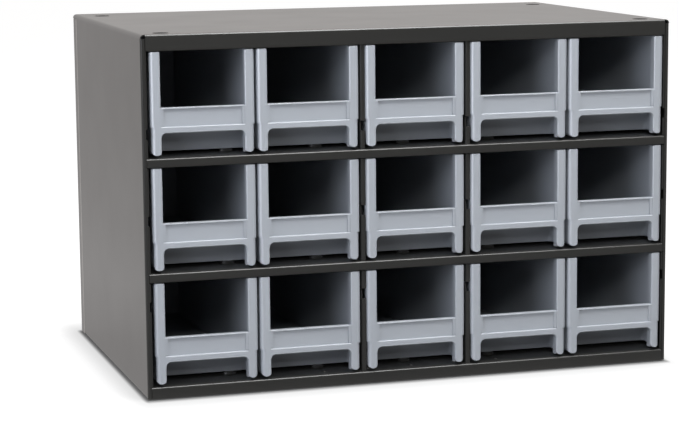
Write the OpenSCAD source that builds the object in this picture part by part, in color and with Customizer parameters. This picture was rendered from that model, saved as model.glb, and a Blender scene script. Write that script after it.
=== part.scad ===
// Parts bin cabinet: a folded sheet-steel case with three rows of five moulded pull-out bins.
// Millimetres. Origin at the middle of the underside, X to the right, Y to the back, Z up.
// The bins slide out towards -Y. Row 1 is the top row, column 1 the left one.

/* [Case] */
// Outside width
cab_w = 431.8; // [400:0.1:480]
// Outside depth
cab_d = 279.4; // [250:0.1:330]
// Outside height
cab_h = 279.4; // [255:0.1:320]
// Thickness of all the sheet steel
sheet = 0.9; // [0.7:0.1:1.1]
// Outside radius of the two long bends along the top
top_bend_r = 3; // [2.4:0.1:4]
// Outside radius of every other bend
edge_bend_r = 1.8; // [1.6:0.1:2.2]
// Width of the strips that the sides turn in at the front
strip_w = 3; // [2.6:0.1:4]
// Height of the face that the top turns down at the front
header_face_h = 12; // [9.5:0.1:12.2]
// Open seam between the header face and each front strip
header_seam = 0.9; // [0.5:0.1:1.2]
// Width of the returns that the sides turn in underneath
base_return_w = 28; // [26:1:36]
// How far the back panel wraps round onto each side
back_wrap = 15; // [12:1:24]
// Seam left between two sheets that meet edge to edge
seam = 0.3; // [0.2:0.1:0.5]
// Play where one sheet slips over or through another
slip = 0.1; // [0.05:0.05:0.15]

/* [Levels] */
// Height of the bottom pan's floor above the ground
pan_h = 10; // [8:0.1:13]
// Drop from the top of the case to the lower edge of the header
header_drop = 12.6; // [12.4:0.1:14]
// Depth of the leg that holds the header stiffener to the top
stiffener_leg = 20; // [16:1:30]
// Height of each shelf's front flange
flange_h = 7.2; // [6:0.1:7.4]
// Height of the hem folded up behind that flange
hem_h = 4.2; // [3.8:0.1:4.4]
// Gap left inside the hem
hem_gap = 0.5; // [0.2:0.1:0.5]
// Height of each shelf's rear flange
rear_flange_h = 10; // [6:0.5:14]
// Other number of rows that the uprights are notched for
alt_rows = 4; // [4, 5]

/* [Columns] */
// Space between the outside of the case and the first bin
side_space = 5.8; // [5.4:0.1:7]
// Space for a divider between two bins
divider_space = 5.4; // [4.6:0.1:7]
// Gap between two bins that have no divider between them
drawer_gap = 1.8; // [1.4:0.1:3]
// How far the loose bins stand to the right of the middle of their places
drawer_shift = 1; // [0:0.1:1]

/* [Uprights] */
// Distance of the dividers' front flanges behind the front
divider_set = 2.4; // [2.4:0.1:3.5]
// Gap between a divider's front flange and the bin on its right
divider_flange_gap = 0.5; // [0.4:0.1:1]
// Gap between a side liner's front flange and the outer bin
liner_flange_gap = 1.4; // [1.3:0.1:1.6]
// Height of the notch that lets a shelf's front flange past an upright
notch_h = 7.8; // [7.7:0.1:9]
// Depth of that notch
notch_d = 3.8; // [3.5:0.1:5]

/* [Buttons and slots] */
// Radius of the pressed buttons that carry the bins
button_r = 5.7; // [4.8:0.1:6]
// Height of the buttons
button_h = 2.2; // [1.6:0.1:2.6]
// Distance between the buttons across the case
button_pitch = 72; // [71:0.5:73]
// Distance of the buttons behind the front
button_set = 30.5; // [29:0.5:34]
// Length of the short slots in the bottom pan
pan_slot_l = 7; // [5:0.5:8]
// Width of those slots
pan_slot_w = 1.2; // [1:0.1:2]
// Distance of those slots behind the front
pan_slot_set = 12.7; // [11:0.1:16]

/* [Stacking and hanging] */
// Height of the pressed feet
foot_h = 1; // [0.8:0.1:1.2]
// Radius of the pressed feet
foot_r = 5.8; // [5:0.1:7]
// Play of a foot in the recess of the case below
stack_play = 0.5; // [0.3:0.1:0.8]
// Depth of the recesses in the top
cup_depth = 1.6; // [1.3:0.1:2.2]
// Distance of feet and recesses from each side
stack_side = 18.9; // [16:0.1:21]
// Distance of the front ones from the front
stack_front = 15; // [13:0.5:20]
// Distance of the rear ones from the back
stack_rear = 34.4; // [30:0.1:45]
// Distance between the two keyholes in the back
keyhole_pitch = 304.8; // [250:0.1:330]
// Height of the keyholes' round entries above the ground
keyhole_z = 222; // [200:1:240]
// Radius of the round entry
keyhole_r = 5; // [4:0.1:6]
// Width of the slot above it
keyhole_slot_w = 5.2; // [4:0.1:6]
// Length of that slot from the middle of the entry
keyhole_slot_l = 12; // [10:0.5:15]

/* [Bin] */
// Clear space behind a closed bin
drawer_back_gap = 10.2; // [8:0.1:20]
// Clear space above a bin
drawer_top_gap = 0.6; // [0.4:0.1:2]
// Thickness of the bin's walls and floor
wall = 1.5; // [1.2:0.1:1.8]
// Outside radius of the bin's long bottom edges and rear corners
bin_r = 3; // [2.4:0.1:4]
// How much the face stands out past the walls on each side
face_step = 0.8; // [0.5:0.1:1.1]
// Width of the two posts beside the window
post_w = 8; // [7:0.1:9]
// Depth of the posts from front to back
post_d = 7; // [6:0.1:9]
// Radius of the posts' outer front edges
post_edge_r = 3.3; // [2:0.1:3.4]
// Radius of the posts' inner front edges
post_inner_r = 1.4; // [0.6:0.1:1.8]
// Radius of the posts' upper corners
post_top_r = 1.2; // [0.6:0.1:2]
// Width of the two legs beside the finger opening
leg_w = 7.5; // [7:0.1:8.2]
// Radius of the rounded lower ends of the legs
leg_end_r = 3.4; // [2.5:0.1:3.5]
// Height of the finger opening
grip_z = 16.5; // [14:0.1:18]
// Radius of the finger opening's upper corners
arch_r = 3.75; // [2.5:0.05:5]
// Height of the bar above the finger opening
bar_h = 4.9; // [4:0.1:6]
// Rounding of the bar's front edges
bar_edge_r = 0.7; // [0.4:0.1:0.9]
// Height of the label panel above the bar
label_h = 14.5; // [13:0.1:17]
// How far the label panel's frame lies behind the bar
frame_set = 0.5; // [0.2:0.1:0.6]
// Height of the lip along the top of the label panel
label_lip = 1.1; // [0.8:0.1:1.6]
// Width of the rib at each end of the label panel
label_rib = 2; // [1.4:0.1:2.8]
// How far the label panel lies behind the bar
label_recess = 1.8; // [0.8:0.1:1.9]
// Thickness of the bar
bar_t = 3.2; // [3:0.1:4]
// How far the scooped wall's foot lies behind the front
scoop_d = 29; // [26:0.5:32]
// Radius between the scooped wall and the skirts
scoop_r = 3.5; // [2:0.1:5]

/* [Bin stops and runners] */
// Height of the stop ears above the side walls
ear_h = 4.7; // [3.6:0.1:5]
// Length of the stop ears along the top
ear_l = 3; // [2:0.5:5]
// Length of the ramp behind a stop ear
ear_ramp = 9; // [6:0.5:11]
// Distance of the ears' stop face from the bin's back
ear_set = 15.4; // [14:0.1:20]
// Width of the two runners under the rear of a bin
runner_w = 4; // [3:0.1:4.4]
// Length of the runners
runner_l = 12; // [8:0.5:16]
// Distance of the runners from the bin's back
runner_set = 6; // [4:0.5:10]

/* [Hidden] */
$fn = 48;
rows = 3;
columns = 5;
steel = "#3d3d3b";
plastic = "#a4abb4";
over = 1;

// Case faces
half_w = cab_w / 2;
front = -cab_d / 2;
back = cab_d / 2;
side_in = half_w - sheet;
roof_in = cab_h - sheet;
side_end = back - back_wrap - seam;
strip_in = half_w - strip_w;
corner_z = cab_h - top_bend_r;
second_y = front + sheet;
return_top = foot_h + sheet;

// Rows: the zone from the pan's floor to one flange below the header is shared out evenly.
row_zone = cab_h - header_drop - pan_h + flange_h;
row_pitch = row_zone / rows;
opening_h = row_pitch - flange_h;

// Columns
drawer_w = (cab_w - 2 * side_space - 2 * divider_space - 2 * drawer_gap) / columns;
divider_x = (drawer_w + divider_space) / 2;

// Uprights
liner_out = side_in - slip;
liner_in = liner_out - sheet;
liner_flange_in = half_w - side_space + liner_flange_gap;
divider_flange_w = (divider_space + sheet) / 2 + drawer_shift - divider_flange_gap;
divider_front = front + divider_set;
divider_end = back - sheet - 2 * slip;
flange_back = second_y + sheet + seam;

// Shelves: the front half passes through the uprights' slots, the rear half is slotted itself.
shelf_half_front = strip_in - seam;
shelf_half_mid = side_in - 2 * slip;
shelf_half_rear = liner_in - 2 * slip;
shelf_end = back - sheet - 5 * slip;
shelf_mid_front = flange_back + edge_bend_r;
hem_r = sheet + hem_gap / 2;

// Bottom pan
pan_half = liner_in - slip;
pan_front_half = strip_in - seam;
pan_end = back - sheet - slip;

// Stacking points
stack_x = half_w - stack_side;
stack_y = [front + stack_front, back - stack_rear];
cup_r = foot_r + stack_play;

// Bin
drawer_d = cab_d - sheet - drawer_back_gap;
drawer_h = opening_h - button_h - drawer_top_gap;
face_half = drawer_w / 2;
body_half = face_half - face_step;
inner_half = body_half - wall;
window_half = face_half - post_w;
leg_in = body_half - leg_w;
pocket_half = window_half - label_rib;
ledge_z = grip_z + bar_h;
label_top = ledge_z + label_h;
runner_x = body_half - bin_r - runner_w / 2 - slip;

// Scooped wall: its face runs from the foot up to the back of the label panel's top.
scoop_top_y = bar_t;
scoop_angle = atan((scoop_d - scoop_top_y) / label_top);
scoop_t = wall / cos(scoop_angle);
function scoop_y(z) = scoop_d - z * tan(scoop_angle);
function scoop_z(y) = (scoop_d + scoop_t - y) / tan(scoop_angle);

function level(n, k) = pan_h + k * row_zone / n;
function drawer_z(r) = level(rows, rows - r) + button_h;
function column_x(c) =
    let (k = c - (columns + 1) / 2)
    k == 0 ? 0 : sign(k) * (drawer_w + divider_space + (abs(k) - 1) * (drawer_w + drawer_gap));

// Extrusions of a flat profile: drawn in X-Z and run along Y, drawn in Y-Z and run along X,
// drawn in X-Y and run along Z.
module along_y(y0, y1) {
    translate([0, y1, 0])
        rotate([90, 0, 0])
            linear_extrude(y1 - y0)
                children();
}

module along_x(x0, x1) {
    translate([x0, 0, 0])
        rotate([90, 0, 90])
            linear_extrude(x1 - x0)
                children();
}

module along_z(z0, z1) {
    translate([0, 0, z0])
        linear_extrude(z1 - z0)
            children();
}

module both_sides() {
    children();
    mirror([1, 0, 0])
        children();
}

// Section through a bend: outside corner at the origin, legs a on +X and b on +Y.
module bend(a, b, r) {
    intersection() {
        difference() {
            translate([r, r])
                circle(r);
            translate([r, r])
                circle(r - sheet);
        }
        square(r);
    }
    if (a > r)
        translate([r, 0])
            square([a - r, sheet]);
    if (b > r)
        translate([0, r])
            square([sheet, b - r]);
}

// Section through the top sheet with its two long bends.
module roof_section() {
    both_sides()
        translate([half_w, cab_h])
            mirror([1, 0])
                mirror([0, 1])
                    bend(half_w, top_bend_r, top_bend_r);
}

// Section through both sides, each with its return underneath.
module side_section() {
    both_sides()
        translate([half_w, foot_h])
            mirror([1, 0])
                bend(base_return_w, corner_z - foot_h, edge_bend_r);
}

module at_stack_points() {
    for (x = [-stack_x, stack_x])
        for (y = stack_y)
            translate([x, y, 0])
                children();
}

// Top, sides, base returns, header face and front strips, all folded from one sheet.
module outer_wrapper() {
    color(steel)
        difference() {
            union() {
                along_y(front + edge_bend_r, back)
                    roof_section();
                along_y(front + edge_bend_r, side_end)
                    side_section();
                header_face();
                front_strips();
                at_stack_points() {
                    translate([0, 0, roof_in - cup_depth])
                        cylinder(h = cup_depth + sheet, r = cup_r + sheet);
                    cylinder(h = return_top, r = foot_r);
                }
            }
            at_stack_points() {
                translate([0, 0, cab_h - cup_depth])
                    cylinder(h = cup_depth + over, r = cup_r);
                translate([0, 0, sheet])
                    cylinder(h = return_top, r = foot_r - sheet);
            }
        }
}

module header_face() {
    reach = strip_in - header_seam;
    along_x(-reach, reach)
        translate([front, cab_h])
            mirror([0, 1])
                bend(edge_bend_r, header_face_h, edge_bend_r);
    // The rounded corners run on a little, which leaves a small relief hole beside the face.
    along_y(front + sheet / 2, front + edge_bend_r)
        intersection() {
            roof_section();
            both_sides()
                translate([strip_in, corner_z])
                    square([strip_w, top_bend_r]);
        }
}

module front_strips() {
    both_sides()
        along_z(foot_h, corner_z)
            translate([half_w, front])
                mirror([1, 0])
                    bend(strip_w, edge_bend_r, edge_bend_r);
}

// Angle behind the header face; its lower edge is the lip that catches the top row's ears.
module header_stiffener() {
    reach = liner_flange_in - seam;
    color(steel)
        difference() {
            along_x(-reach, reach)
                translate([second_y, roof_in])
                    mirror([0, 1])
                        bend(stiffener_leg, header_drop - sheet, edge_bend_r);
            at_stack_points()
                translate([0, 0, roof_in - cup_depth - over])
                    cylinder(h = cup_depth + 2 * over, r = cup_r + sheet + seam);
        }
}

// Slots for the shelves and notches for their front flanges, at every row of both layouts.
module shelf_cuts(x0, x1) {
    for (n = [rows, alt_rows])
        for (k = [1 : n - 1]) {
            top = level(n, k) + slip;
            translate([x0, front - over, top - sheet - 2 * slip])
                cube([x1 - x0, cab_d / 2 + over + 2 * slip, sheet + 2 * slip]);
            translate([x0, front - over, top - notch_h])
                cube([x1 - x0, over + notch_d, notch_h]);
        }
}

// Upright sheet inside each side of the case, flanged inwards at the front.
module side_liner() {
    foot = foot_h + edge_bend_r + slip;
    difference() {
        along_z(foot, corner_z - slip)
            translate([liner_out, second_y])
                mirror([1, 0])
                    bend(liner_out - liner_flange_in, cab_d - 2 * sheet - edge_bend_r, edge_bend_r);
        shelf_cuts(liner_flange_in - over, liner_out + over);
        translate([liner_flange_in - over, front, foot - over])
            cube([side_space, notch_d, pan_h + slip - foot + over]);
    }
}

module side_liner_left() {
    color(steel)
        mirror([1, 0, 0])
            side_liner();
}

module side_liner_right() {
    color(steel)
        side_liner();
}

// Divider between two groups of columns; both are the same part, flanged to the right.
module divider(x) {
    left = x - sheet / 2;
    color(steel)
        difference() {
            along_z(pan_h, roof_in - slip)
                translate([left, divider_front])
                    bend(divider_flange_w, divider_end - divider_front, edge_bend_r);
            shelf_cuts(left - over, left + divider_flange_w + over);
            translate([left - over, front, roof_in - sheet - seam])
                cube([divider_flange_w + 2 * over, sheet + stiffener_leg + seam, sheet + seam]);
        }
}

module divider_left() {
    divider(-divider_x);
}

module divider_right() {
    divider(divider_x);
}

// One row of buttons that carry the bins' front ends, pressed up out of a floor at height z.
module button_row(z) {
    count = floor((half_w - side_space - button_r) / button_pitch);
    for (k = [-count : count])
        translate([k * button_pitch, front + button_set, z])
            children();
}

module raised_buttons(z) {
    button_row(z)
        button_cone(button_r, -sheet / 2, button_h);
}

module button_hollows(z) {
    button_row(z)
        button_cone(button_r - sheet, -sheet - over, button_h - sheet);
}

// Flat-topped cone of radius r at height 0, narrowing by half a millimetre for each one it rises.
module button_cone(r, z0, z1) {
    translate([0, 0, z0])
        cylinder(h = z1 - z0, r1 = r - z0 / 2, r2 = r - z1 / 2);
}

// Shelf at height z: hemmed flange in front, flange behind, slots over the uprights' rear halves.
module shelf(z) {
    color(steel)
        difference() {
            union() {
                along_z(z - sheet, z)
                    shelf_outline();
                along_x(-shelf_half_front, shelf_half_front)
                    shelf_front_section(z);
                along_x(-shelf_half_rear, shelf_half_rear)
                    translate([shelf_end, z])
                        mirror([1, 0])
                            mirror([0, 1])
                                bend(edge_bend_r, rear_flange_h, edge_bend_r);
                raised_buttons(z);
            }
            button_hollows(z);
            for (x = [-divider_x, divider_x])
                translate([x - sheet / 2 - slip, -slip, z - rear_flange_h - over])
                    cube([sheet + 2 * slip, cab_d / 2 + over, rear_flange_h + 2 * over]);
        }
}

module shelf_outline() {
    both_sides()
        polygon([
            [0, front + edge_bend_r],
            [shelf_half_front, front + edge_bend_r],
            [shelf_half_front, shelf_mid_front],
            [shelf_half_mid, shelf_mid_front],
            [shelf_half_mid, -slip],
            [shelf_half_rear, -slip],
            [shelf_half_rear, shelf_end - edge_bend_r],
            [0, shelf_end - edge_bend_r],
        ]);
}

module shelf_front_section(z) {
    fold_z = z - flange_h + hem_r;
    translate([front, z])
        mirror([0, 1])
            bend(edge_bend_r, flange_h - hem_r, edge_bend_r);
    intersection() {
        translate([front + hem_r, fold_z])
            difference() {
                circle(hem_r);
                circle(hem_r - sheet);
            }
        translate([front, fold_z - hem_r])
            square([2 * hem_r, hem_r]);
    }
    translate([second_y + hem_gap, fold_z])
        square([sheet, hem_h - hem_r]);
}

module shelf_upper() {
    shelf(level(rows, 2));
}

module shelf_lower() {
    shelf(level(rows, 1));
}

// Floor of the case: flanged down all round and standing on the base returns.
module bottom_pan() {
    side_leg = pan_h - return_top;
    color(steel)
        difference() {
            union() {
                along_y(flange_back, pan_end - edge_bend_r)
                    both_sides()
                        translate([pan_half, pan_h])
                            mirror([1, 0])
                                mirror([0, 1])
                                    bend(pan_half, side_leg, edge_bend_r);
                along_x(-pan_front_half, pan_front_half)
                    translate([front, pan_h])
                        mirror([0, 1])
                            bend(2 * edge_bend_r, pan_h - foot_h, edge_bend_r);
                along_x(-pan_front_half, pan_front_half)
                    translate([pan_end, pan_h])
                        mirror([1, 0])
                            mirror([0, 1])
                                bend(2 * edge_bend_r, side_leg, edge_bend_r);
                raised_buttons(pan_h);
            }
            button_hollows(pan_h);
            for (k = [-2 : 2])
                translate([k * button_pitch / 2, front + pan_slot_set, pan_h - sheet - over])
                    pan_slot();
        }
}

module pan_slot() {
    straight = pan_slot_l - pan_slot_w;
    translate([-pan_slot_w / 2, -straight / 2, 0])
        cube([pan_slot_w, straight, sheet + 2 * over]);
    for (y = [-straight / 2, straight / 2])
        translate([0, y, 0])
            cylinder(h = sheet + 2 * over, d = pan_slot_w);
}

// Back panel, wrapped round onto the sides, with two keyholes.
module back_panel() {
    flange_top = corner_z - seam;
    color(steel)
        difference() {
            union() {
                along_z(foot_h, flange_top)
                    both_sides()
                        translate([half_w, back])
                            mirror([1, 0])
                                mirror([0, 1])
                                    bend(half_w, back_wrap, edge_bend_r);
                translate([-strip_in + seam, back - sheet, flange_top])
                    cube([2 * (strip_in - seam), sheet, roof_in - slip - flange_top]);
            }
            for (x = [-keyhole_pitch / 2, keyhole_pitch / 2])
                translate([x, 0, keyhole_z])
                    keyhole();
        }
}

module keyhole() {
    along_y(back - sheet - over, back + over) {
        circle(keyhole_r);
        translate([-keyhole_slot_w / 2, 0])
            square([keyhole_slot_w, keyhole_slot_l - keyhole_slot_w / 2]);
        translate([0, keyhole_slot_l - keyhole_slot_w / 2])
            circle(d = keyhole_slot_w);
    }
}

// Outline with a flat top and rounded lower corners, centred on X.
module tub_outline(half, z0, z1, r) {
    translate([-half, z0 + r])
        square([2 * half, z1 - z0 - r]);
    translate([-half + r, z0])
        square([2 * (half - r), r + over]);
    for (x = [-half + r, half - r])
        translate([x, z0 + r])
            circle(r);
}

// Walls and floor as one block, from the back of the face to the rear.
module bin_block() {
    intersection() {
        along_y(bar_t, drawer_d)
            tub_outline(body_half, 0, drawer_h, bin_r);
        along_z(-over, drawer_h + over)
            mirror([0, 1])
                tub_outline(body_half, -drawer_d, over, bin_r);
    }
}

// Plan of a post or leg: front edges rounded outside by r1 and inside by r2.
module post_plan(x0, x1, r1, r2) {
    translate([x0, r2])
        square([r2, post_d - r2]);
    translate([x0 + r2, 0])
        square([x1 - x0 - r1 - r2, post_d]);
    translate([x1 - r1, r1])
        square([r1, post_d - r1]);
    translate([x1 - r1, r1])
        circle(r1);
    translate([x0 + r2, r2])
        circle(r2);
}

// Front of a leg with its rounded lower end.
module leg_outline() {
    translate([leg_in, leg_end_r])
        square([leg_w, ledge_z - leg_end_r]);
    translate([leg_in + leg_end_r, 0])
        square([leg_w - 2 * leg_end_r, leg_end_r + over]);
    for (x = [leg_in + leg_end_r, body_half - leg_end_r])
        translate([x, leg_end_r])
            circle(leg_end_r);
}

// Front of a post with its rounded upper corners.
module post_outline() {
    translate([window_half, ledge_z])
        square([post_w, drawer_h - post_top_r - ledge_z]);
    translate([window_half + post_top_r, ledge_z])
        square([post_w - 2 * post_top_r, drawer_h - ledge_z]);
    for (x = [window_half + post_top_r, face_half - post_top_r])
        translate([x, drawer_h - post_top_r])
            circle(post_top_r);
}

// Posts, legs, bar and label panel; the finger opening's upper corners are rounded.
module bin_face() {
    both_sides() {
        intersection() {
            along_z(ledge_z, drawer_h)
                post_plan(window_half, face_half, post_edge_r, post_inner_r);
            along_y(-over, post_d + over)
                post_outline();
        }
        intersection() {
            along_z(-over, ledge_z)
                post_plan(leg_in, body_half, post_edge_r, post_inner_r);
            along_y(-over, post_d + over)
                leg_outline();
        }
    }
    difference() {
        translate([-leg_in - leg_w / 2, 0, grip_z - arch_r])
            cube([2 * leg_in + leg_w, bar_t, label_top - grip_z + arch_r]);
        along_y(-over, bar_t + over)
            finger_opening();
        finger_opening_edge();
        translate([-window_half, -over, ledge_z])
            cube([2 * window_half, over + frame_set, label_h + over]);
        translate([-pocket_half, 0, ledge_z])
            cube([2 * pocket_half, label_recess, label_h - label_lip]);
        along_x(-window_half, window_half) {
            translate([0, ledge_z])
                edge_waste(bar_edge_r);
            translate([frame_set, label_top])
                edge_waste(frame_set);
        }
    }
}

// What is cut away to round an upper front edge at the origin by r.
module edge_waste(r) {
    difference() {
        translate([-over, -r])
            square([over + r, r + over]);
        translate([r, -r])
            circle(r);
    }
}

// Chamfer round the front of the finger opening's top.
module finger_opening_edge() {
    flare = bar_edge_r + over;
    straight = leg_in - arch_r;
    along_x(-straight, straight)
        polygon([
            [-over, grip_z - over],
            [-over, grip_z + flare],
            [bar_edge_r, grip_z],
            [bar_edge_r, grip_z - over],
        ]);
    for (x = [-straight, straight])
        translate([x, -over, grip_z - arch_r])
            rotate([-90, 0, 0])
                cylinder(h = flare, r1 = arch_r + flare, r2 = arch_r);
}

module finger_opening() {
    translate([-leg_in, -over])
        square([2 * leg_in, grip_z - arch_r + over]);
    translate([-leg_in + arch_r, 0])
        square([2 * (leg_in - arch_r), grip_z]);
    for (x = [-leg_in + arch_r, leg_in - arch_r])
        translate([x, grip_z - arch_r])
            circle(arch_r);
}

// Space for the fingers behind the face, under the scooped wall and open below.
module finger_space() {
    slope = label_top / cos(scoop_angle);
    intersection() {
        translate([0, scoop_d, 0])
            rotate([scoop_angle, 0, 0])
                translate([0, 0, -slope])
                    linear_extrude(3 * slope)
                        scoop_outline();
        union() {
            translate([-inner_half, post_d, -over])
                cube([2 * inner_half, scoop_d, label_top + over]);
            translate([-leg_in, bar_t, -over])
                cube([2 * leg_in, scoop_d, label_top + over]);
        }
    }
}

module scoop_outline() {
    depth = 2 * scoop_d;
    translate([-inner_half, -depth])
        square([2 * inner_half, depth - scoop_r]);
    translate([-inner_half + scoop_r, -depth])
        square([2 * (inner_half - scoop_r), depth]);
    for (x = [-inner_half + scoop_r, inner_half - scoop_r])
        translate([x, -scoop_r])
            circle(scoop_r);
}

// Space inside the bin, behind the scooped wall, and the window above the label panel.
module bin_space() {
    intersection() {
        along_y(0, drawer_d)
            tub_outline(inner_half, wall, drawer_h + over, bin_r - wall);
        along_z(0, drawer_h + over)
            mirror([0, 1])
                tub_outline(inner_half, wall - drawer_d, over, bin_r - wall);
        along_x(-face_half, face_half)
            polygon([
                [scoop_y(wall) + scoop_t, wall],
                [post_d, scoop_z(post_d)],
                [post_d, drawer_h + over],
                [drawer_d, drawer_h + over],
                [drawer_d, wall],
            ]);
    }
    along_x(-window_half, window_half)
        polygon([
            [post_d + over, scoop_z(post_d + over)],
            [scoop_y(label_top) + scoop_t, label_top],
            [-over, label_top],
            [-over, drawer_h + over],
            [post_d + over, drawer_h + over],
        ]);
}

// Ear on top of a side wall that catches behind the flange above, with a ramp behind it.
module stop_ear() {
    y = drawer_d - ear_set;
    along_x(inner_half, body_half)
        polygon([
            [y, drawer_h - over],
            [y, drawer_h + ear_h],
            [y + ear_l, drawer_h + ear_h],
            [y + ear_l + ear_ramp, drawer_h],
            [y + ear_l + ear_ramp, drawer_h - over],
        ]);
}

module runner() {
    translate([runner_x - runner_w / 2, drawer_d - runner_set - runner_l, -button_h])
        cube([runner_w, runner_l, button_h + wall / 2]);
}

module bin() {
    difference() {
        union() {
            bin_block();
            bin_face();
        }
        bin_space();
        finger_space();
    }
    both_sides() {
        stop_ear();
        runner();
    }
}

module drawer(r, c) {
    color(plastic)
        translate([column_x(c) + drawer_shift, front, drawer_z(r)])
            bin();
}

outer_wrapper();
header_stiffener();
side_liner_left();
side_liner_right();
divider_left();
divider_right();
shelf_upper();
shelf_lower();
bottom_pan();
back_panel();
drawer(1, 1);  // drawer_r1c1
drawer(1, 2);  // drawer_r1c2
drawer(1, 3);  // drawer_r1c3
drawer(1, 4);  // drawer_r1c4
drawer(1, 5);  // drawer_r1c5
drawer(2, 1);  // drawer_r2c1
drawer(2, 2);  // drawer_r2c2
drawer(2, 3);  // drawer_r2c3
drawer(2, 4);  // drawer_r2c4
drawer(2, 5);  // drawer_r2c5
drawer(3, 1);  // drawer_r3c1
drawer(3, 2);  // drawer_r3c2
drawer(3, 3);  // drawer_r3c3
drawer(3, 4);  // drawer_r3c4
drawer(3, 5);  // drawer_r3c5
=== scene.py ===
import math

import bmesh
import bpy
from mathutils import Matrix, Vector


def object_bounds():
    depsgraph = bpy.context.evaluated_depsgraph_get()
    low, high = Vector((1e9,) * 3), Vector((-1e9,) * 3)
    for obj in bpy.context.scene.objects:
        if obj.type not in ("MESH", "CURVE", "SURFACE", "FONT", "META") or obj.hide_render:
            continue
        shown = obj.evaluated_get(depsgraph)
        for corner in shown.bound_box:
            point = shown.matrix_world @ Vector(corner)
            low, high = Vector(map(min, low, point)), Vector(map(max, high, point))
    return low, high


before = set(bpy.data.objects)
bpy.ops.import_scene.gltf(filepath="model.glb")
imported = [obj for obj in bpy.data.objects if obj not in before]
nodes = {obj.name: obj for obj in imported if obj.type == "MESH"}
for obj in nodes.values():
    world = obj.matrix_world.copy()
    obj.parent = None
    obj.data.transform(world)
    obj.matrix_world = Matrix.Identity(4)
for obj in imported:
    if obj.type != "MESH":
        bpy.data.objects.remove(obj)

cad_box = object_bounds()
scene = bpy.context.scene


# ---- Camera ------------------------------------------------------------------------------------
# A long lens a little to the left of the cabinet's middle and a little above it, so that the
# front shows nearly square and the top and the left side show as thin slivers.

picture_width_px = 679
focal_length_px = 2209.13
camera_place = (-0.5542, -1.7583, 0.39279)
azimuth = math.radians(-16.919)
elevation = math.radians(8.811)
roll = math.radians(-0.525)

camera_data = bpy.data.cameras.new("camera")
camera_data.sensor_width = 36
camera_data.lens = focal_length_px * camera_data.sensor_width / picture_width_px
camera_data.clip_end = 50
camera = bpy.data.objects.new("camera", camera_data)
scene.collection.objects.link(camera)

towards_camera = Vector((
    math.sin(azimuth) * math.cos(elevation),
    -math.cos(azimuth) * math.cos(elevation),
    math.sin(elevation),
))
level_right = (-towards_camera).cross(Vector((0, 0, 1))).normalized()
level_up = towards_camera.cross(level_right)
right = level_right * math.cos(roll) + level_up * math.sin(roll)
up = level_up * math.cos(roll) - level_right * math.sin(roll)
turned = Matrix((right, up, towards_camera)).transposed().to_4x4()
camera.matrix_world = Matrix.Translation(camera_place) @ turned
scene.camera = camera
scene.view_settings.view_transform = "Standard"


# ---- Floor and surroundings --------------------------------------------------------------------
# A plain white sheet under the cabinet, white walls to its left and behind it, and the dark end of
# the studio in front. The camera sees floor and walls as pure white, apart from the cabinet's soft
# shadow, which is partly the paper's real shadow and partly painted shadow from a glow held low
# close to the cabinet. Everything else sees the walls themselves, which are a warmer white.

MM = 0.001


def linear(hex_colour):
    """An sRGB hex colour as linear RGBA."""
    channels = [int(hex_colour[i:i + 2], 16) / 255 for i in (1, 3, 5)]
    return [c / 12.92 if c <= 0.04045 else ((c + 0.055) / 1.055) ** 2.4 for c in channels] + [1]


def add(tree, kind, settings=None, links=None):
    """Adds a node, sets its properties and its sockets by name or number, and links sockets."""
    node = tree.nodes.new(kind)
    for name, value in (settings or {}).items():
        if isinstance(name, int) or name in node.inputs:
            node.inputs[name].default_value = value
        else:
            setattr(node, name, value)
    for name, source in (links or {}).items():
        tree.links.new(source, node.inputs[name])
    return node


pure_white = linear("#ffffff")
warm_white = linear("#fffaf8")

world = bpy.data.worlds.new("white_studio")
scene.world = world
world.use_nodes = True
tree = world.node_tree
tree.nodes.clear()
back_and_left = (-0.35, 0.94, 0)
direction = add(tree, "ShaderNodeTexCoord").outputs["Generated"]
towards_walls = add(tree, "ShaderNodeVectorMath", {"operation": "DOT_PRODUCT", 1: back_and_left},
                    {0: direction})
brightness = add(tree, "ShaderNodeMapRange",
                 {"interpolation_type": "SMOOTHSTEP", "From Min": -0.2, "From Max": 0.5,
                  "To Min": 0.2, "To Max": 0.86},
                 {"Value": towards_walls.outputs["Value"]})
walls = add(tree, "ShaderNodeBackground", {"Color": warm_white},
            {"Strength": brightness.outputs["Result"]})
white = add(tree, "ShaderNodeBackground", {"Color": pure_white})
path = add(tree, "ShaderNodeLightPath").outputs
mixed = add(tree, "ShaderNodeMixShader", links={
    0: path["Is Camera Ray"],
    1: walls.outputs[0],
    2: white.outputs[0],
})
add(tree, "ShaderNodeOutputWorld", links={"Surface": mixed.outputs[0]})

floor_half_width = 6
floor_clearance = 0.1 * MM
floor_mesh = bpy.data.meshes.new("floor")
sheet = bmesh.new()
bmesh.ops.create_grid(sheet, x_segments=1, y_segments=1, size=floor_half_width)
sheet.to_mesh(floor_mesh)
sheet.free()
floor = bpy.data.objects.new("floor", floor_mesh)
floor.location.z = cad_box[0][2] - floor_clearance
scene.collection.objects.link(floor)

# Matte paper: it spreads the light evenly and shows no lamp.
paper_sweep = bpy.data.materials.new("white_paper_sweep")
paper_sweep.use_nodes = True
tree = paper_sweep.node_tree
tree.nodes.clear()
paper = add(tree, "ShaderNodeBsdfDiffuse", {"Color": linear("#707070")})
point = add(tree, "ShaderNodeTexCoord").outputs["Object"]
path = add(tree, "ShaderNodeLightPath").outputs
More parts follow.
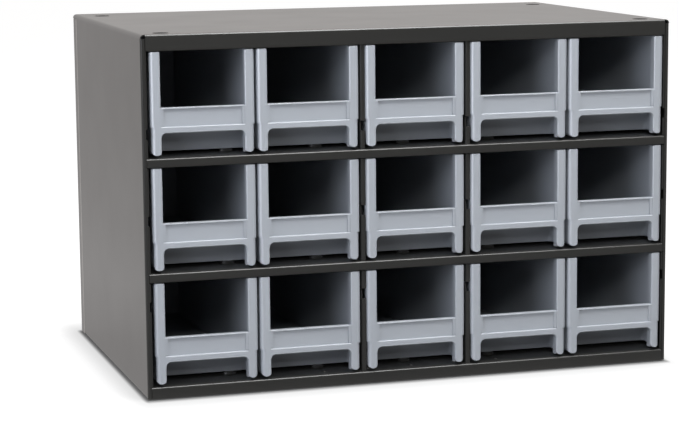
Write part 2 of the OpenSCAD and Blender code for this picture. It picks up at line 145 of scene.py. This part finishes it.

# To the camera the paper glows more and more from the cabinet's outline outwards, steeply over
# 10 mm and slowly over 60 mm. The glow held low close to the cabinet paints a shadow there: the
# grey near the cabinet is partly the paper's real shadow and partly this painted shade. To the
# sides, where the painted shadow is narrower, each millimetre counts for 2.2.
outline = (cad_box[1][0], cad_box[1][1], 0)
side_counts = (2.2, 1, 1)
steep_reach = 10 * MM
slow_reach = 60 * MM
from_middle = add(tree, "ShaderNodeVectorMath", {"operation": "ABSOLUTE"}, {0: point})
past_outline = add(tree, "ShaderNodeVectorMath", {"operation": "SUBTRACT", 1: outline},
                   {0: from_middle.outputs[0]})
outside = add(tree, "ShaderNodeVectorMath", {"operation": "MAXIMUM"}, {0: past_outline.outputs[0]})
weighed = add(tree, "ShaderNodeVectorMath", {"operation": "MULTIPLY", 1: side_counts},
              {0: outside.outputs[0]})
distance = add(tree, "ShaderNodeVectorMath", {"operation": "LENGTH"}, {0: weighed.outputs[0]})
steep_glow = add(tree, "ShaderNodeMapRange",
                 {"interpolation_type": "SMOOTHSTEP", "From Min": 0, "From Max": steep_reach,
                  "To Min": 0.06, "To Max": 0.62},
                 {"Value": distance.outputs["Value"]})
slow_glow = add(tree, "ShaderNodeMapRange",
                {"interpolation_type": "SMOOTHSTEP", "From Min": 0, "From Max": slow_reach,
                 "To Min": 0, "To Max": 0.3},
                {"Value": distance.outputs["Value"]})
glow = add(tree, "ShaderNodeMath", {"operation": "ADD"},
           {0: steep_glow.outputs["Result"], 1: slow_glow.outputs["Result"]})
seen = add(tree, "ShaderNodeMath", {"operation": "MULTIPLY"},
           {0: glow.outputs[0], 1: path["Is Camera Ray"]})
seen_glow = add(tree, "ShaderNodeEmission", {"Color": pure_white}, {"Strength": seen.outputs[0]})

# Mirrored in gloss the paper is bright beside and behind the cabinet, dark in front of it, and
# lighter again beyond 2 m. To the left the bright part reaches further forward.
left_slant = 0.35
front = cad_box[0][1]
bright_from = front - 30 * MM
full_from = front + 20 * MM
far_from = -2
far_full_from = -4
across = add(tree, "ShaderNodeSeparateXYZ", links={0: point}).outputs
slanted = add(tree, "ShaderNodeMath",
              {"operation": "MULTIPLY_ADD", 1: -left_slant, 2: left_slant * cad_box[0][0]},
              {0: across["X"]})
to_left = add(tree, "ShaderNodeMath", {"operation": "MAXIMUM", 1: 0}, {0: slanted.outputs[0]})
depth = add(tree, "ShaderNodeMath", {"operation": "ADD"}, {0: across["Y"], 1: to_left.outputs[0]})
behind = add(tree, "ShaderNodeMapRange",
             {"interpolation_type": "SMOOTHSTEP", "From Min": bright_from, "From Max": full_from,
              "To Min": 0, "To Max": 0.63},
             {"Value": depth.outputs[0]})
before = add(tree, "ShaderNodeMapRange",
             {"interpolation_type": "SMOOTHSTEP", "From Min": far_full_from, "From Max": far_from,
              "To Min": 0.5, "To Max": 0},
             {"Value": depth.outputs[0]})
bright = add(tree, "ShaderNodeMath", {"operation": "ADD"},
             {0: behind.outputs["Result"], 1: before.outputs["Result"]})
mirrored = add(tree, "ShaderNodeMath", {"operation": "MULTIPLY"},
               {0: bright.outputs[0], 1: path["Is Glossy Ray"]})
mirrored_glow = add(tree, "ShaderNodeEmission", {"Color": warm_white},
                    {"Strength": mirrored.outputs[0]})

both_glows = add(tree, "ShaderNodeAddShader",
                 links={0: seen_glow.outputs[0], 1: mirrored_glow.outputs[0]})
lit_paper = add(tree, "ShaderNodeAddShader", links={0: paper.outputs[0], 1: both_glows.outputs[0]})
add(tree, "ShaderNodeOutputMaterial", links={"Surface": lit_paper.outputs[0]})
floor.data.materials.append(paper_sweep)


# ---- Lamps -------------------------------------------------------------------------------------
# Four soft boxes: two overhead, which draw the light lines along bends and ledges, one above the
# camera that reaches in under the label panels and doesn't show in gloss, and one on the left. A
# bright card below the left one shows in gloss alone: the light edge of the bins' posts.

def soft_box(name, place, target, size, watts, colour="#ffffff"):
    """A rectangular lamp of this width and height in metres, turned from its place to a target."""
    lamp = bpy.data.lights.new(name, "AREA")
    lamp.color = linear(colour)[:3]
    lamp.shape = "RECTANGLE"
    lamp.size, lamp.size_y = size
    lamp.energy = watts
    holder = bpy.data.objects.new(name, lamp)
    holder.location = place
    aim = Vector(target) - Vector(place)
    holder.rotation_euler = aim.to_track_quat("-Z", "Y").to_euler()
    scene.collection.objects.link(holder)
    return holder


cool_white = "#f0f4ff"
front_middle = (0, cad_box[0][1], cad_box[1][2] / 2)
soft_box("overhead_soft_box", (0.45, -0.3, 1.6), (0.45, -0.3, 0), (0.8, 1.4), 40)
soft_box("front_overhead_soft_box", (0.05, -0.8, 1.5), front_middle, (0.9, 0.6), 12)
front_box = soft_box("front_soft_box", (-0.35, -2.1, 1.05), front_middle, (0.4, 0.3), 12)
front_box.visible_glossy = False
soft_box("left_soft_box", (-1.3, -1.0, 0.6), (0, -0.14, 0.3), (0.8, 0.8), 11, cool_white)
left_card = soft_box("left_card", (-1.3, -1.0, 0.14), front_middle, (0.6, 0.26), 16, cool_white)
left_card.visible_diffuse = False


# ---- Wrapper and header stiffener --------------------------------------------------------------
# The top, both sides, the header face and the front strips are folded from one sheet of mild steel.
# An angle of the same steel stiffens the header from behind. The coat is baked on after folding.

def noise_scale(feature_mm):
    """Noise scale whose features are about this many millimetres apart."""
    return 1 / (feature_mm * MM)


def powder_coat(name, darker, lighter):
    """Semi-gloss polyester powder coat that drifts between two near tones.

    Baked, it flows out to a faint orange peel about 1.5 mm across and gives soft, broad
    reflections, strong where the sheet is seen edge-on. Tone and gloss drift over about 55 mm,
    as the coat's thickness does.
    """
    material = bpy.data.materials.new(name)
    material.use_nodes = True
    tree = material.node_tree
    tree.nodes.clear()
    point = add(tree, "ShaderNodeTexCoord").outputs["Object"]
    cloud = add(tree, "ShaderNodeTexNoise", {"Scale": noise_scale(55), "Detail": 3},
                {"Vector": point}).outputs["Fac"]
    tone = add(tree, "ShaderNodeMix",
               {"name": "tone", "data_type": "RGBA", "A": linear(darker), "B": linear(lighter)},
               {"Factor": cloud})
    gloss = add(tree, "ShaderNodeMapRange", {"To Min": 0.27, "To Max": 0.33}, {"Value": cloud})
    peel = add(tree, "ShaderNodeTexNoise", {"Scale": noise_scale(1.5), "Detail": 1},
               {"Vector": point})
    bump = add(tree, "ShaderNodeBump", {"Strength": 0.12, "Distance": 0.02 * MM},
               {"Height": peel.outputs["Fac"]})
    coat = add(tree, "ShaderNodeBsdfPrincipled", {"name": "coat", "IOR": 1.5}, {
        "Base Color": tone.outputs["Result"],
        "Roughness": gloss.outputs["Result"],
        "Normal": bump.outputs["Normal"],
    })
    add(tree, "ShaderNodeOutputMaterial", links={"Surface": coat.outputs[0]})
    return material


def finish_pieces(names, material):
    """Gives pieces of the cabinet this material alone."""
    for name in names:
        nodes[name].data.materials.clear()
        nodes[name].data.materials.append(material)


charcoal_coat = powder_coat("charcoal_powder_coat", "#252524", "#2a2a28")
finish_pieces(["outer_wrapper", "header_stiffener"], charcoal_coat)


# ---- Side liners and dividers ------------------------------------------------------------------
# Upright sheets of the same steel in the same coat, flanged at the front, and notched and slotted
# for the shelves. A liner stands inside each side and a divider on each side of the middle bins.

uprights = ["side_liner_left", "side_liner_right", "divider_left", "divider_right"]
finish_pieces(uprights, charcoal_coat)


# ---- Shelves and bottom pan --------------------------------------------------------------------
# Folded from the same steel in the same coat, with a hemmed flange or a rail along the front and
# pressed buttons that carry the bins. The uprights hold the shelves, and the pan stands on the
# returns that the sides turn in underneath.

finish_pieces(["shelf_upper", "shelf_lower", "bottom_pan"], charcoal_coat)


# ---- Back panel --------------------------------------------------------------------------------
# One sheet of the same steel, wrapped 15 mm round onto the sides and coated by itself, a shade
# lighter than the rest, so that its edge shows.

back_coat = powder_coat("lighter_charcoal_powder_coat", "#3a3a39", "#3f3f3e")

# Along its cut edges, on the sides, a pale line about 2 mm wide is painted into the coat: a painted
# highlight standing in for the light that the sheet's edge catches.
wrap = 15 * MM
cut_edge = cad_box[1][1] - wrap
painted_highlight_full_to = cut_edge + 1.5 * MM
painted_highlight_ends_at = cut_edge + 2.5 * MM
tree = back_coat.node_tree
point = add(tree, "ShaderNodeTexCoord").outputs["Object"]
along = add(tree, "ShaderNodeSeparateXYZ", links={0: point}).outputs["Y"]
# Mask of the painted highlight: full at the cut edge, gone 2.5 mm from it.
painted_edge_highlight = add(tree, "ShaderNodeMapRange",
           {"interpolation_type": "SMOOTHSTEP", "From Min": painted_highlight_full_to, "From Max": painted_highlight_ends_at,
            "To Min": 1, "To Max": 0},
           {"Value": along})
# Mixes the pale painted highlight into the coat's tone along the cut edge.
highlighted_tone = add(tree, "ShaderNodeMix", {"data_type": "RGBA", "B": linear("#a8a4a0")},
                {"Factor": painted_edge_highlight.outputs["Result"], "A": tree.nodes["tone"].outputs["Result"]})
tree.links.new(highlighted_tone.outputs["Result"], tree.nodes["coat"].inputs["Base Color"])
finish_pieces(["back_panel"], back_coat)


# ---- Moulded bins ------------------------------------------------------------------------------
# Fifteen like bins, each one injection moulding of light blue-grey high-impact polystyrene. They
# stand loose on the shelves' buttons and on runners of their own.

# High-impact polystyrene from a finely spark-eroded mould: satin, with broad, soft highlights. The
# real grain is finer than 0.6 mm, and it is drawn this coarse to show.
bin_plastic = bpy.data.materials.new("satin_moulded_polystyrene")
bin_plastic.use_nodes = True
tree = bin_plastic.node_tree
tree.nodes.clear()
point = add(tree, "ShaderNodeTexCoord").outputs["Object"]
cloud = add(tree, "ShaderNodeTexNoise", {"Scale": noise_scale(40), "Detail": 2}, {"Vector": point})
tone = add(tree, "ShaderNodeMix",
           {"data_type": "RGBA", "A": linear("#9ea3aa"), "B": linear("#a3a8ae")},
           {"Factor": cloud.outputs["Fac"]})
grain = add(tree, "ShaderNodeTexNoise", {"Scale": noise_scale(0.6), "Detail": 2}, {"Vector": point})
bump = add(tree, "ShaderNodeBump", {"Strength": 0.15, "Distance": 0.02 * MM},
           {"Height": grain.outputs["Fac"]})
shader = add(tree, "ShaderNodeBsdfPrincipled", {"Roughness": 0.36, "IOR": 1.55},
             {"Base Color": tone.outputs["Result"], "Normal": bump.outputs["Normal"]})
add(tree, "ShaderNodeOutputMaterial", links={"Surface": shader.outputs[0]})

bins = sorted(name for name in nodes if name.startswith("drawer_"))
finish_pieces(bins, bin_plastic)

# The card on the left lights the bins alone, so that it draws no line down the case's corner.
lit_by_card = bpy.data.collections.new("lit_by_left_card")
for name in bins:
    lit_by_card.objects.link(nodes[name])
left_card.light_linking.receiver_collection = lit_by_card
